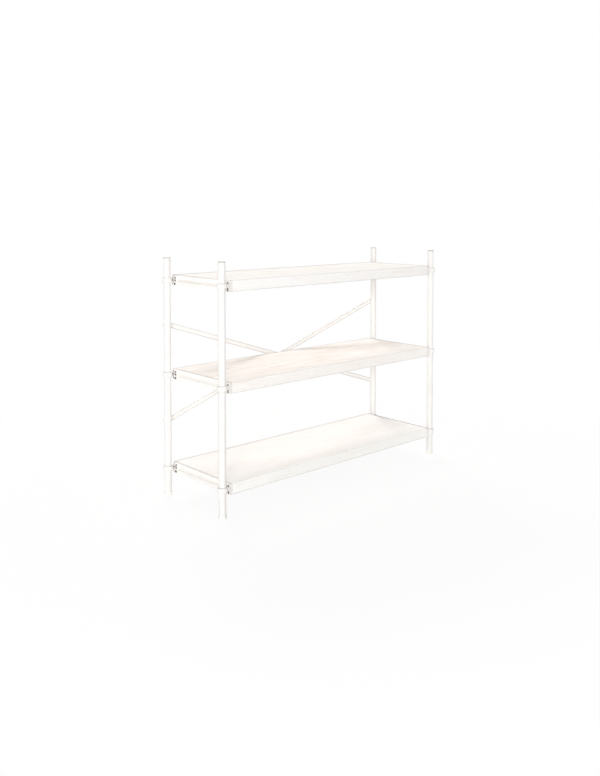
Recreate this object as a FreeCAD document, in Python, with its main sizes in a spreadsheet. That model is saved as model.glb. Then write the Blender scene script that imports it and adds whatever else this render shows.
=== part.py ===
import FreeCAD, Part
import math
import os

import Sketcher

# Low shelving unit: three timber shelves in a frame of round posts, ring clamps and end rails.
# Millimetres. +X along the width, +Y to the rear, +Z up. The origin is on the floor, at the centre
# of the unit's outer box.

SIZES = {
    # The whole unit, over the ring clamps.
    "overall_width": 1260.0,
    "overall_depth": 400.0,
    "overall_height": 960.0,
    # Posts, which stand above the top shelf with their caps.
    "post_above_shelf": 71.0,
    "post_radius": 14.0,
    "post_wall": 1.5,
    # Post caps: a thin lid on a hollow plug.
    "cap_thickness": 3.0,
    "cap_chamfer": 0.8,
    "plug_length": 14.0,
    "plug_clearance": 0.1,
    "plug_wall": 2.0,
    # Feet: ferrules that the posts stand in.
    "foot_height": 12.0,
    "foot_wall": 2.0,
    "foot_floor": 4.0,
    "foot_chamfer": 0.8,
    "socket_clearance": 0.05,
    # Shelves.
    "lowest_shelf_height": 86.0,
    "shelf_rear_inset": 9.5,
    "fascia_height": 42.0,
    "fascia_thickness": 18.0,
    "fascia_rounding": 2.0,
    "panel_thickness": 17.0,
    "end_batten_width": 40.0,
    "end_batten_thickness": 10.0,
    "cross_batten_width": 45.0,
    "cross_batten_thickness": 15.0,
    "cross_batten_spacing": 410.0,
    # Ring clamps: a collar with two ears, which end ear_gap short of the bracket's leg.
    "ring_wall": 5.5,
    "ring_height": 20.0,
    "ring_rounding": 3.6,
    "ring_clearance": 0.05,
    "ear_length": 6.0,
    "ear_width": 16.0,
    "ear_height": 16.0,
    "ear_rounding": 4.0,
    "ear_lip": 1.85,
    "ear_gap": 1.5,
    "slit_clearance": 0.1,
    "seat_clearance": 0.3,
    # Corner brackets, bent from plate.
    "bracket_plate": 3.0,
    "bracket_length": 31.0,
    "bracket_margin": 4.4,
    "bracket_rounding": 4.4,
    "bracket_bend": 2.5,
    "tongue_gap": 1.2,
    # End rails: angles with the flange at the top.
    "rail_height": 15.0,
    "rail_plate": 3.0,
    "rail_flange": 26.0,
    "rail_bend": 1.5,
    "rail_end_gap": 1.0,
    # Clamp screws and nuts.
    "clamp_thread": 5.0,
    "clamp_head": 8.5,
    "clamp_head_height": 5.0,
    "clamp_key": 4.0,
    "clamp_key_depth": 2.5,
    "clamp_nut_across": 8.0,
    "clamp_nut_height": 4.0,
    "clamp_nut_lift": 2.4,
    # Rail screws.
    "rail_thread": 5.0,
    "rail_head": 9.5,
    "rail_head_height": 2.8,
    "rail_key": 3.0,
    "rail_key_depth": 1.6,
    "rail_screw_inset": 9.5,
    # Wood screws: into the ends of the shelves, and up through the rails into the end battens.
    "wood_thread": 4.0,
    "wood_head": 7.5,
    "wood_head_height": 1.6,
    "wood_cross": 3.4,
    "wood_cross_width": 0.9,
    "wood_cross_depth": 1.2,
    "shelf_screw_length": 28.0,
    "shelf_screw_inset": 12.0,
    "batten_screw_length": 11.0,
    "batten_screw_spacing": 180.0,
    # Cross brace, its middle a little above the middle shelf's.
    "brace_lift": 4.0,
    "brace_rise": 400.0,
    "brace_width": 19.0,
    "brace_plate": 4.0,
    "brace_spacer": 4.0,
    "spacer_wall": 2.4,
    "brace_thread": 6.0,
    "brace_head": 10.5,
    "brace_head_height": 3.3,
    "brace_key": 4.0,
    "brace_key_depth": 2.0,
    "brace_bolt_grip": 9.0,
    "brace_nut_across": 10.0,
    "brace_nut_height": 5.0,
    "rivet_wall": 1.4,
    "rivet_length": 12.0,
    "rivet_lip": 0.9,
    "rivet_flange": 1.0,
    # Shared by all screws and cuts.
    "screw_clearance": 0.15,
    "thread_clearance": 0.05,
    "screw_end": 1.5,
    "overrun": 2.0,
}

# Two places closer than this are the same place.
SAME_PLACE = 1e-4

doc = FreeCAD.newDocument("shelving_unit")
sheet = doc.addObject("Spreadsheet::Sheet", "sizes")
for row, (alias, size) in enumerate(SIZES.items(), start=1):
    sheet.set(f"A{row}", str(size))
    sheet.setAlias(f"A{row}", alias)
doc.recompute()

# Sizes and places that follow from the sheet, as expressions that the pieces are bound to.
ring_radius = "(sizes.post_radius + sizes.ring_wall)"
post_x = f"(sizes.overall_width / 2 - {ring_radius})"
post_y = f"(sizes.overall_depth / 2 - {ring_radius})"

# Heights above the floor.
highest_shelf = "(sizes.overall_height - sizes.post_above_shelf - sizes.fascia_height)"
shelf_pitch = f"(({highest_shelf} - sizes.lowest_shelf_height) / 2)"
brace_middle = f"(sizes.lowest_shelf_height + {shelf_pitch} + sizes.fascia_height / 2 + sizes.brace_lift)"
brace_low = f"({brace_middle} - sizes.brace_rise / 2)"
brace_high = f"({brace_middle} + sizes.brace_rise / 2)"

# Depths behind a rear post's axis.
first_bar = "(sizes.post_radius + sizes.brace_spacer)"
second_bar = f"({first_bar} + sizes.brace_plate)"
brace_back = f"({second_bar} + sizes.brace_plate)"
bolt_back = f"({brace_back} + sizes.brace_head_height)"
frame_y = f"(({ring_radius} - {bolt_back}) / 2)"

# Distances from a post's axis, inwards along the width.
ear_root = "(sizes.post_radius + sizes.ring_wall / 3)"
ear_reach = f"({ring_radius} + sizes.ear_length)"
clamp_hole = "(sizes.clamp_thread / 2 + sizes.screw_clearance)"
clamp_screw_reach = f"({ear_reach} - {clamp_hole} - sizes.ear_lip)"
tongue_back = "(sizes.post_radius + sizes.tongue_gap)"
bracket_face = f"({ear_reach} + sizes.ear_gap)"
shelf_inset = f"({bracket_face} + sizes.bracket_plate)"
rail_face = f"({bracket_face} - sizes.rail_plate)"
flange_tip = f"({rail_face} + sizes.rail_flange)"
batten_screw_reach = f"(({shelf_inset} + {flange_tip}) / 2)"
slit_width = "(sizes.bracket_plate + 2 * sizes.slit_clearance)"

# Shelf outline, from the middle between the posts.
shelf_end = f"({post_x} - {shelf_inset})"
shelf_front = f"({post_y} + sizes.post_radius)"
shelf_rear = f"({post_y} + sizes.post_radius - sizes.shelf_rear_inset)"
panel_front = f"({shelf_front} - sizes.fascia_thickness)"
panel_rear = f"({shelf_rear} - sizes.fascia_thickness)"

# Heights above a shelf's underside.
panel_low = "(sizes.fascia_height - sizes.panel_thickness)"
batten_low = f"({panel_low} - sizes.end_batten_thickness)"
rail_low = f"({batten_low} - sizes.rail_height)"
rail_seat = f"({batten_low} - sizes.rail_plate)"
rail_screw_lift = f"(({rail_low} + {rail_seat}) / 2)"
nut_corner = "(sizes.clamp_nut_across / sqrt(3))"
ring_lift = f"({batten_low} + sizes.clamp_nut_lift + {nut_corner})"
shelf_screw_lift = f"({panel_low} + sizes.panel_thickness / 3)"
side_screw_lift = f"({batten_low} + sizes.end_batten_thickness / 2)"
bracket_top = f"({shelf_screw_lift} + sizes.bracket_margin)"

# Distances from a post's axis, towards the other post of the same end.
bracket_reach = "(sizes.bracket_length - sizes.bracket_plate / 2)"
rail_screw_reach = f"({bracket_reach} - sizes.rail_screw_inset)"
shelf_screw_reach = f"({bracket_reach} - sizes.shelf_screw_inset)"

# Radii of holes.
rail_hole = "(sizes.rail_thread / 2 + sizes.screw_clearance)"
rail_tapping = "(sizes.rail_thread / 2 + sizes.thread_clearance)"
wood_hole = "(sizes.wood_thread / 2 + sizes.screw_clearance)"
wood_pilot = "(sizes.wood_thread / 2 + sizes.thread_clearance)"
brace_hole = "(sizes.brace_thread / 2 + sizes.screw_clearance)"
brace_tapping = "(sizes.brace_thread / 2 + sizes.thread_clearance)"
batten_pilot = "(sizes.batten_screw_length - sizes.rail_plate + sizes.screw_end)"
shelf_pilot = "(sizes.shelf_screw_length - sizes.bracket_plate + sizes.screw_end)"
rivet_radius = f"({brace_tapping} + sizes.rivet_wall)"
rivet_lip = f"({rivet_radius} + sizes.rivet_lip)"
rivet_hole = f"({rivet_radius} + sizes.thread_clearance)"
spacer_bore = f"({rivet_lip} + sizes.screw_clearance)"

LEVELS = ("bottom", "middle", "top")
SIDES = {"left": -1, "right": 1}
CORNERS = {
    "front_left": (-1, -1),
    "front_right": (1, -1),
    "rear_left": (-1, 1),
    "rear_right": (1, 1),
}
# The half turn, about this axis, that brings the front left clamp's ears and screw to a corner.
CLAMP_TURN = {
    "front_left": None,
    "front_right": (0, 1, 0),
    "rear_left": (1, 0, 0),
    "rear_right": (0, 0, 1),
}
parts = []


def value(expression):
    """The number that an expression gives with the present sizes."""
    return float(sheet.evalExpression(expression))


def underside(level):
    return f"(sizes.lowest_shelf_height + {LEVELS.index(level)} * {shelf_pitch})"


def turned_to(axis, angle):
    return FreeCAD.Rotation(FreeCAD.Vector(*axis), angle)


def place(piece, x="0", y="0", z="0", rotation=None):
    """Binds a piece's place to the sizes. Every y is measured from the middle between the posts."""
    if rotation is not None:
        piece.Placement = FreeCAD.Placement(FreeCAD.Vector(), rotation)
    piece.setExpression("Placement.Base.x", x)
    piece.setExpression("Placement.Base.y", f"{y} + {frame_y}")
    piece.setExpression("Placement.Base.z", z)
    return piece


def keep(piece, node):
    """Names a finished sub-part."""
    piece.Label = node
    parts.append(piece)


def group(members, node):
    """Identical small pieces that share one node, as separate solids."""
    bundle = doc.addObject("Part::Compound", f"{node}_group")
    bundle.Links = members
    keep(bundle, node)


def new_body(name):
    return doc.addObject("PartDesign::Body", name)


def sketch_on(body, role, name, offset=None):
    """A sketch on one of the body's own origin planes, or at a distance from it."""
    plane = next(item for item in body.Origin.OriginFeatures if item.Role == role)
    sketch = body.newObject("Sketcher::SketchObject", name)
    sketch.AttachmentSupport = (plane, [""])
    sketch.MapMode = "FlatFace"
    if offset is not None:
        sketch.setExpression("AttachmentOffset.Base.z", offset)
    return sketch


def pin(sketch, edge, end, x, y):
    """Ties a point of a sketch to the sizes."""
    for kind, distance in (("DistanceX", x), ("DistanceY", y)):
        constraint = Sketcher.Constraint(kind, -1, 1, edge, end, value(distance))
        number = sketch.addConstraint(constraint)
        sketch.setExpression(f"Constraints[{number}]", distance)


def tie_radius(sketch, edge, radius):
    number = sketch.addConstraint(Sketcher.Constraint("Radius", edge, value(radius)))
    sketch.setExpression(f"Constraints[{number}]", radius)


def point(x, y):
    return FreeCAD.Vector(value(x), value(y), 0)


def outline(sketch, corners):
    """A closed outline of straight edges through corners given as expressions."""
    points = [point(x, y) for x, y in corners]
    first = sketch.GeometryCount
    for start, end in zip(points, points[1:] + points[:1]):
        sketch.addGeometry(Part.LineSegment(start, end), False)
    for number, (x, y) in enumerate(corners):
        following = first + (number + 1) % len(corners)
        sketch.addConstraint(Sketcher.Constraint("Coincident", first + number, 2, following, 1))
        pin(sketch, first + number, 1, x, y)


def rectangle(sketch, x_low, x_high, y_low, y_high):
    outline(sketch, [(x_low, y_low), (x_high, y_low), (x_high, y_high), (x_low, y_high)])


def circle(sketch, radius, x="0", y="0"):
    round_edge = Part.Circle(point(x, y), FreeCAD.Vector(0, 0, 1), value(radius))
    edge = sketch.addGeometry(round_edge, False)
    tie_radius(sketch, edge, radius)
    pin(sketch, edge, 3, x, y)


def hexagon(sketch, across):
    """A hexagon about the sketch's origin, given across its flats."""
    corner = f"({across} / sqrt(3))"
    half_corner = f"({corner} / 2)"
    flat = f"({across} / 2)"
    upper = [(corner, "0"), (half_corner, flat), (f"-{half_corner}", flat)]
    lower = [(f"-{corner}", "0"), (f"-{half_corner}", f"-{flat}"), (half_corner, f"-{flat}")]
    outline(sketch, upper + lower)


def cross(sketch, across, width):
    """A cross with square tips about the sketch's origin."""
    tip = f"({across} / 2)"
    side = f"({width} / 2)"
    corners = []
    for across_sign, up_sign in (("", ""), ("-", ""), ("-", "-"), ("", "-")):
        quarter = [
            (f"{across_sign}{tip}", f"{up_sign}{side}"),
            (f"{across_sign}{side}", f"{up_sign}{side}"),
            (f"{across_sign}{side}", f"{up_sign}{tip}"),
        ]
        corners += quarter if across_sign == up_sign else reversed(quarter)
    outline(sketch, corners)


def bar_outline(sketch, start, finish, radius):
    """Two straight sides between round ends, whose centres are given as expressions."""
    centres = [point(*start), point(*finish)]
    run = centres[1] - centres[0]
    heading = math.atan2(run.y, run.x)
    square = heading + math.pi / 2
    side = FreeCAD.Vector(math.cos(square), math.sin(square), 0) * value(radius)
    axis = FreeCAD.Vector(0, 0, 1)
    upper = sketch.addGeometry(Part.LineSegment(centres[0] + side, centres[1] + side), False)
    lower = sketch.addGeometry(Part.LineSegment(centres[1] - side, centres[0] - side), False)
    ends = []
    for centre, first_angle in ((centres[1], square - math.pi), (centres[0], square)):
        disc = Part.Circle(centre, axis, value(radius))
        arc = Part.ArcOfCircle(disc, first_angle, first_angle + math.pi)
        ends.append(sketch.addGeometry(arc, False))
    for joint in ((ends[0], 2, upper, 2), (ends[0], 1, lower, 1)):
        sketch.addConstraint(Sketcher.Constraint("Tangent", *joint))
    for joint in ((ends[1], 1, upper, 1), (ends[1], 2, lower, 2)):
        sketch.addConstraint(Sketcher.Constraint("Tangent", *joint))
    for edge, centre in ((ends[0], finish), (ends[1], start)):
        tie_radius(sketch, edge, radius)
        pin(sketch, edge, 3, *centre)


def pad(body, sketch, length, both_ways=False, backwards=False):
    feature = body.newObject("PartDesign::Pad", f"{sketch.Name}_pad")
    feature.Profile = sketch
    feature.setExpression("Length", length)
    feature.Midplane = both_ways
    feature.Reversed = backwards
    return feature


def cut(body, sketch, depth=None, backwards=False):
    """A pocket to a depth, or right through both ways. It has to take something away."""
    doc.recompute()
    before = body.Shape.Volume
    feature = body.newObject("PartDesign::Pocket", f"{sketch.Name}_cut")
    feature.Profile = sketch
    if depth is None:
        feature.Type = "ThroughAll"
        feature.Midplane = True
    else:
        feature.setExpression("Length", depth)
        feature.Reversed = backwards
    doc.recompute()
    if not body.Shape.Volume < before:
        raise RuntimeError(f"{feature.Name} takes nothing away")
    return feature


def revolve(body, sketch):
    """A full turn about the sketch's upright axis."""
    feature = body.newObject("PartDesign::Revolution", f"{sketch.Name}_turned")
    feature.Profile = sketch
    feature.ReferenceAxis = (sketch, ["V_Axis"])
    feature.Angle = 360
    return feature


def ease_edges(body, size, wanted, kind="PartDesign::Fillet"):
    """Rounds, or chamfers, the edges of the body that the test picks out."""
    doc.recompute()
    base = body.Tip
    names = [f"Edge{n}" for n, edge in enumerate(base.Shape.Edges, start=1) if wanted(edge)]
    if not names:
        raise RuntimeError(f"{body.Name} has no such edge to ease")
    feature = body.newObject(kind, f"{body.Name}_easing")
    feature.Base = (base, names)
    feature.setExpression("Radius" if kind == "PartDesign::Fillet" else "Size", size)
    return feature


def same(length, expression):
    return abs(length - value(expression)) < SAME_PLACE


def line_at(edge, axis, *places):
    """Whether an edge is straight, runs along an axis and passes through places on the others."""
    if not isinstance(edge.Curve, Part.Line):
        return False
    if abs(abs(edge.Curve.Direction[axis]) - 1) > SAME_PLACE:
        return False
    others = [n for n in range(3) if n != axis]
    middle = edge.CenterOfMass
    return all(same(middle[n], where) for n, where in zip(others, places))


def rim_at(edge, radius, z):
    """Whether an edge is a rim about the body's upright axis, of a radius and at a height."""
    if not isinstance(edge.Curve, Part.Circle):
        return False
    return same(edge.Curve.Radius, radius) and same(edge.Curve.Center.z, z)


def box(name, x_low, x_high, y_low, y_high, z_low, z_high):
    """A plain block between six places."""
    block = doc.addObject("Part::Box", name)
    block.setExpression("Length", f"({x_high}) - ({x_low})")
    block.setExpression("Width", f"({y_high}) - ({y_low})")
    block.setExpression("Height", f"({z_high}) - ({z_low})")
    return place(block, x_low, y_low, z_low)


def rod(name, radius, length, x, y, z, rotation=None):
    """A plain cylinder that starts at a place and runs up, or along its turned axis."""
    cylinder = doc.addObject("Part::Cylinder", name)
    cylinder.setExpression("Radius", radius)
    cylinder.setExpression("Height", length)
    return place(cylinder, x, y, z, rotation)


def drilled(name, block, drills):
    """A block less the rods that stand for its pilot holes."""
    bundle = doc.addObject("Part::Compound", f"{name}_pilots")
    bundle.Links = drills
    result = doc.addObject("Part::Cut", f"{name}_drilled")
    result.Base = block
    result.Tool = bundle
    return result


# Directions that a screw's head can point to, from upright.
HEAD_FORWARD = turned_to((1, 0, 0), 90)
HEAD_BACKWARD = turned_to((1, 0, 0), -90)
HEAD_DOWN = turned_to((1, 0, 0), 180)
HEAD_OUTWARD = {-1: turned_to((0, 1, 0), -90), 1: turned_to((0, 1, 0), 90)}
HEAD_ACROSS = {-1: HEAD_FORWARD, 1: HEAD_BACKWARD}


# How a head's side bends in to its top, as shares of its radius and of its height.
PAN_HEAD_SHARES = ((1.0, 0.4), (0.94, 0.68), (0.82, 0.88), (0.64, 1.0))
CAP_HEAD_SHARES = ((1.0, 0.9), (0.88, 1.0))


def screw(name, thread, length, head, head_height, crown_shares, recess, depth):
    """An upright screw with its head's underside at its origin. The recess draws what turns it."""
    body = new_body(name)
    profile = sketch_on(body, "XZ_Plane", f"{name}_profile")
    shank = f"({thread} / 2)"
    rim = f"({head} / 2)"
    stem = [("0", f"-{length}"), (shank, f"-{length}"), (shank, "0"), (rim, "0")]
    crown = [(f"{rim} * {across}", f"{head_height} * {up}") for across, up in crown_shares]
    outline(profile, [*stem, *crown, ("0", head_height)])
    revolve(body, profile)
    socket = sketch_on(body, "XY_Plane", f"{name}_recess", head_height)
    recess(socket)
    cut(body, socket, depth)
    return body


def wood_screw(name, length):
    return screw(
        name,
        "sizes.wood_thread",
        length,
        "sizes.wood_head",
        "sizes.wood_head_height",
        PAN_HEAD_SHARES,
        lambda sketch: cross(sketch, "sizes.wood_cross", "sizes.wood_cross_width"),
        "sizes.wood_cross_depth",
    )


def nut(name, across, height, bore):
    """An upright hexagon nut that stands on its origin."""
    body = new_body(name)
    section = sketch_on(body, "XY_Plane", f"{name}_section")
    hexagon(section, across)
    circle(section, bore)
    pad(body, section, height)
    return body


# Posts, their caps and their feet


def post(node, side, end):
    """A round tube that stands on its foot's floor and ends under its cap."""
    body = new_body(f"{node}_tube")
    section = sketch_on(body, "XY_Plane", f"{node}_section")
    circle(section, "sizes.post_radius")
    circle(section, "sizes.post_radius - sizes.post_wall")
    pad(body, section, "sizes.overall_height - sizes.cap_thickness - sizes.foot_floor")
    if end > 0:
        drilling = sketch_on(body, "XZ_Plane", f"{node}_drilling")
        for height in (brace_low, brace_high):
            circle(drilling, rivet_hole, "0", f"{height} - sizes.foot_floor")
        cut(body, drilling, "sizes.post_radius + sizes.overrun")
    place(body, f"{side} * {post_x}", f"{end} * {post_y}", "sizes.foot_floor")
    keep(body, node)


def post_cap(node, side, end):
    """A lid as wide as the post, with a hollow plug inside the tube."""
    body = new_body(f"{node}_moulding")
    profile = sketch_on(body, "XZ_Plane", f"{node}_profile")
    plug = "(sizes.post_radius - sizes.post_wall - sizes.plug_clearance)"
    hollow = f"({plug} - sizes.plug_wall)"
    outline(
        profile,
        [
            ("0", "-sizes.plug_wall"),
            (hollow, "-sizes.plug_wall"),
            (hollow, "-sizes.plug_length"),
            (plug, "-sizes.plug_length"),
            (plug, "0"),
            ("sizes.post_radius", "0"),
            ("sizes.post_radius", "sizes.cap_thickness"),
            ("0", "sizes.cap_thickness"),
        ],
    )
    revolve(body, profile)
    ease_edges(
        body,
        "sizes.cap_chamfer",
        lambda edge: rim_at(edge, "sizes.post_radius", "sizes.cap_thickness"),
        "PartDesign::Chamfer",
    )
    place(body, f"{side} * {post_x}", f"{end} * {post_y}", "sizes.overall_height - sizes.cap_thickness")
    keep(body, node)


def foot(node, side, end):
    """A ferrule with a socket for the tube."""
    body = new_body(f"{node}_moulding")
    profile = sketch_on(body, "XZ_Plane", f"{node}_profile")
    rim = "(sizes.post_radius + sizes.foot_wall)"
    socket = "(sizes.post_radius + sizes.socket_clearance)"
    outline(
        profile,
        [
            ("0", "0"),
            (rim, "0"),
            (rim, "sizes.foot_height"),
            (socket, "sizes.foot_height"),
            (socket, "sizes.foot_floor"),
            ("0", "sizes.foot_floor"),
        ],
    )
    revolve(body, profile)
    ease_edges(
        body,
        "sizes.foot_chamfer",
        lambda edge: rim_at(edge, rim, "0") or rim_at(edge, rim, "sizes.foot_height"),
        "PartDesign::Chamfer",
    )
    place(body, f"{side} * {post_x}", f"{end} * {post_y}")
    keep(body, node)


# Shelves


def fascia(node, level, front_face, outer_face):
    """An edge strip along the shelf, rounded along the two edges of its outer face."""
    body = new_body(f"{node}_strip")
    face = sketch_on(body, "XZ_Plane", f"{node}_face")
    rectangle(face, f"-{shelf_end}", shelf_end, "0", "sizes.fascia_height")
    pad(body, face, "sizes.fascia_thickness", backwards=True)
    ease_edges(
        body,
        "sizes.fascia_rounding",
        lambda edge: line_at(edge, 0, outer_face, "0")
        or line_at(edge, 0, outer_face, "sizes.fascia_height"),
    )
    place(body, "0", front_face, underside(level))
    keep(body, node)


def panel(node, level):
    """The board between the fascias, with pilot holes in its ends for the brackets' screws."""
    low = f"{underside(level)} + {panel_low}"
    high = f"{underside(level)} + sizes.fascia_height"
    board = box(f"{node}_board", f"-{shelf_end}", shelf_end, f"-{panel_front}", panel_rear, low, high)
    pilots = []
    for corner, (side, end) in CORNERS.items():
        pilots.append(
            rod(
                f"{node}_pilot_{corner}",
                wood_pilot,
                shelf_pilot,
                f"{side} * {shelf_end}",
                f"{end} * ({post_y} - {shelf_screw_reach})",
                f"{underside(level)} + {shelf_screw_lift}",
                HEAD_OUTWARD[-side],
            )
        )
    keep(drilled(node, board, pilots), node)


def battens(level):
    """Strips under the panel: one over each end rail, and two across the middle."""
    high = f"{underside(level)} + {panel_low}"
    low = f"{underside(level)} + {batten_low}"
    cross_low = f"{high} - sizes.cross_batten_thickness"
    front = f"-{panel_front}"
    inner = f"({shelf_end} - sizes.end_batten_width)"
    near = "((sizes.cross_batten_spacing - sizes.cross_batten_width) / 2)"
    far = "((sizes.cross_batten_spacing + sizes.cross_batten_width) / 2)"
    end_strips = []
    cross_strips = []
    for name, side in SIDES.items():
        ends = (f"-{shelf_end}", f"-{inner}") if side < 0 else (inner, shelf_end)
        middle = (f"-{far}", f"-{near}") if side < 0 else (near, far)
        title = f"end_batten_{level}_{name}"
        strip = box(title, *ends, front, panel_rear, low, high)
        across = f"{side} * ({post_x} - {batten_screw_reach})"
        pilots = []
        for number in (-1, 1):
            along = f"{number} * sizes.batten_screw_spacing / 2"
            label = "front" if number < 0 else "rear"
            pilots.append(
                rod(f"{title}_pilot_{label}", wood_pilot, batten_pilot, across, along, low)
            )
            pilots.append(
                rod(
                    f"{title}_side_pilot_{label}",
                    wood_pilot,
                    shelf_pilot,
                    f"{side} * {shelf_end}",
                    f"{number} * ({post_y} - {shelf_screw_reach})",
                    f"{underside(level)} + {side_screw_lift}",
                    HEAD_OUTWARD[-side],
                )
            )
            fixing = wood_screw(f"batten_screw_{level}_{name}_{label}", "sizes.batten_screw_length")
            place(fixing, across, along, f"{underside(level)} + {rail_seat}", HEAD_DOWN)
            batten_screws.append(fixing)
        end_strips.append(drilled(title, strip, pilots))
        cross_strips.append(
            box(f"cross_batten_{level}_{name}", *middle, front, panel_rear, cross_low, high)
        )
    group(end_strips, f"end_battens_{level}")
    group(cross_strips, f"cross_battens_{level}")


# Ring clamps: split collars whose two ears pinch a bracket's tongue


def ring_clamp(node, level, corner):
    """A rounded collar about its upright axis, with ears towards +X and a slit between them."""
    side, end = CORNERS[corner]
    body = new_body(f"{node}_casting")
    half = "(sizes.ring_height / 2)"
    bore = "(sizes.post_radius + sizes.ring_clearance)"
    profile = sketch_on(body, "XZ_Plane", f"{node}_profile")
    rectangle(profile, bore, ring_radius, f"-{half}", half)
    revolve(body, profile)
    ease_edges(
        body,
        "sizes.ring_rounding",
        lambda edge: rim_at(edge, ring_radius, half) or rim_at(edge, ring_radius, f"-{half}"),
    )
    ears = sketch_on(body, "XZ_Plane", f"{node}_ears")
    tall = "(sizes.ear_height / 2)"
    rectangle(ears, ear_root, ear_reach, f"-{tall}", tall)
    pad(body, ears, "sizes.ear_width", both_ways=True)
    ease_edges(
        body,
        "sizes.ear_rounding",
        lambda edge: line_at(edge, 1, ear_reach, tall) or line_at(edge, 1, ear_reach, f"-{tall}"),
    )
    slit = sketch_on(body, "XY_Plane", f"{node}_slit")
    gap = f"({slit_width} / 2)"
    rectangle(slit, "0", f"{ear_reach} + sizes.overrun", f"-{gap}", gap)
    cut(body, slit)
    hole = sketch_on(body, "XZ_Plane", f"{node}_hole")
    circle(hole, clamp_hole, clamp_screw_reach)
    cut(body, hole)
    # Flat seats for the screw's head and for the nut, sunk into the collar's round.
    for name, radius, reach in (
        ("head", "sizes.clamp_head / 2", "sizes.ear_width / 2"),
        ("nut", nut_corner, "-sizes.ear_width / 2"),
    ):
        seat = sketch_on(body, "XZ_Plane", f"{node}_{name}_seat", reach)
        circle(seat, f"{radius} + sizes.seat_clearance", clamp_screw_reach)
        cut(body, seat, ring_radius, backwards=name == "head")
    put_on_post(body, level, corner, side, end)
    keep(body, node)


def put_on_post(piece, level, corner, side, end):
    """Turns a clamp of the front left corner to its own corner and lifts it to its shelf."""
    axis = CLAMP_TURN[corner]
    rotation = turned_to(axis, 180) if axis else None
    height = f"{underside(level)} + {ring_lift}"
    place(piece, f"{side} * {post_x}", f"{end} * {post_y}", height, rotation)


def clamp_fixings(level, corner):
    """The screw through a clamp's ears, its head outermost, and its nut."""
    side, end = CORNERS[corner]
    name = f"{level}_{corner}"
    length = "(sizes.ear_width + sizes.clamp_nut_height + sizes.screw_end)"
    pinch = screw(
        f"clamp_screw_{name}",
        "sizes.clamp_thread",
        length,
        "sizes.clamp_head",
        "sizes.clamp_head_height",
        CAP_HEAD_SHARES,
        lambda sketch: hexagon(sketch, "sizes.clamp_key"),
        "sizes.clamp_key_depth",
    )
    across = f"{side} * ({post_x} - {clamp_screw_reach})"
    height = f"{underside(level)} + {ring_lift}"
    outer = f"{end} * ({post_y} + sizes.ear_width / 2)"
    inner = f"{end} * ({post_y} - sizes.ear_width / 2)"
    place(pinch, across, outer, height, HEAD_ACROSS[end])
    clamp_screws.append(pinch)
    catch = nut(
        f"clamp_nut_{name}",
        "sizes.clamp_nut_across",
        "sizes.clamp_nut_height",
        "(sizes.clamp_thread / 2 + sizes.thread_clearance)",
    )
    place(catch, across, inner, height, HEAD_ACROSS[-end])
    clamp_nuts.append(catch)


# Corner brackets and end rails


def corner_bracket(level, corner):
    """A bent plate: a tongue between the clamp's ears and a leg against the shelf's end."""
    side, end = CORNERS[corner]
    name = f"corner_bracket_{level}_{corner}"
    body = new_body(name)
    inward = f"{-side} *"
    middle = f"{-end} *"
    half = "(sizes.bracket_plate / 2)"
    plan = sketch_on(body, "XY_Plane", f"{name}_plan", rail_low)
    outline(
        plan,
        [
            (f"{inward} {tongue_back}", f"{middle} -{half}"),
            (f"{inward} {shelf_inset}", f"{middle} -{half}"),
            (f"{inward} {shelf_inset}", f"{middle} {bracket_reach}"),
            (f"{inward} {bracket_face}", f"{middle} {bracket_reach}"),
            (f"{inward} {bracket_face}", f"{middle} {half}"),
            (f"{inward} {tongue_back}", f"{middle} {half}"),
        ],
    )
    pad(body, plan, f"{bracket_top} - {rail_low}")
    # The tongue is only as tall as the ears.
    waste = sketch_on(body, "XZ_Plane", f"{name}_waste")
    waste_back = f"{inward} ({tongue_back} - sizes.overrun)"
    for low, high in (
        (f"{rail_low} - sizes.overrun", f"{ring_lift} - sizes.ear_height / 2"),
        (f"{ring_lift} + sizes.ear_height / 2", f"{bracket_top} + sizes.overrun"),
    ):
        rectangle(waste, waste_back, f"{inward} {bracket_face}", low, high)
    cut(body, waste)
    eye = sketch_on(body, "XZ_Plane", f"{name}_eye")
    circle(eye, clamp_hole, f"{inward} {clamp_screw_reach}", ring_lift)
    cut(body, eye)
    holes = sketch_on(body, "YZ_Plane", f"{name}_holes")
    circle(holes, rail_tapping, f"{middle} {rail_screw_reach}", rail_screw_lift)
    for lift in (side_screw_lift, shelf_screw_lift):
        circle(holes, wood_hole, f"{middle} {shelf_screw_reach}", lift)
    cut(body, holes)
    far = f"{middle} {bracket_reach}"
    ease_edges(
        body,
        "sizes.bracket_rounding",
        lambda edge: line_at(edge, 0, far, rail_low) or line_at(edge, 0, far, bracket_top),
    )
    ease_edges(
        body,
        "sizes.bracket_bend",
        lambda edge: line_at(edge, 2, f"{inward} {shelf_inset}", f"{middle} -{half}"),
    )
    place(body, f"{side} * {post_x}", f"{end} * {post_y}", underside(level))
    return body


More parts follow.
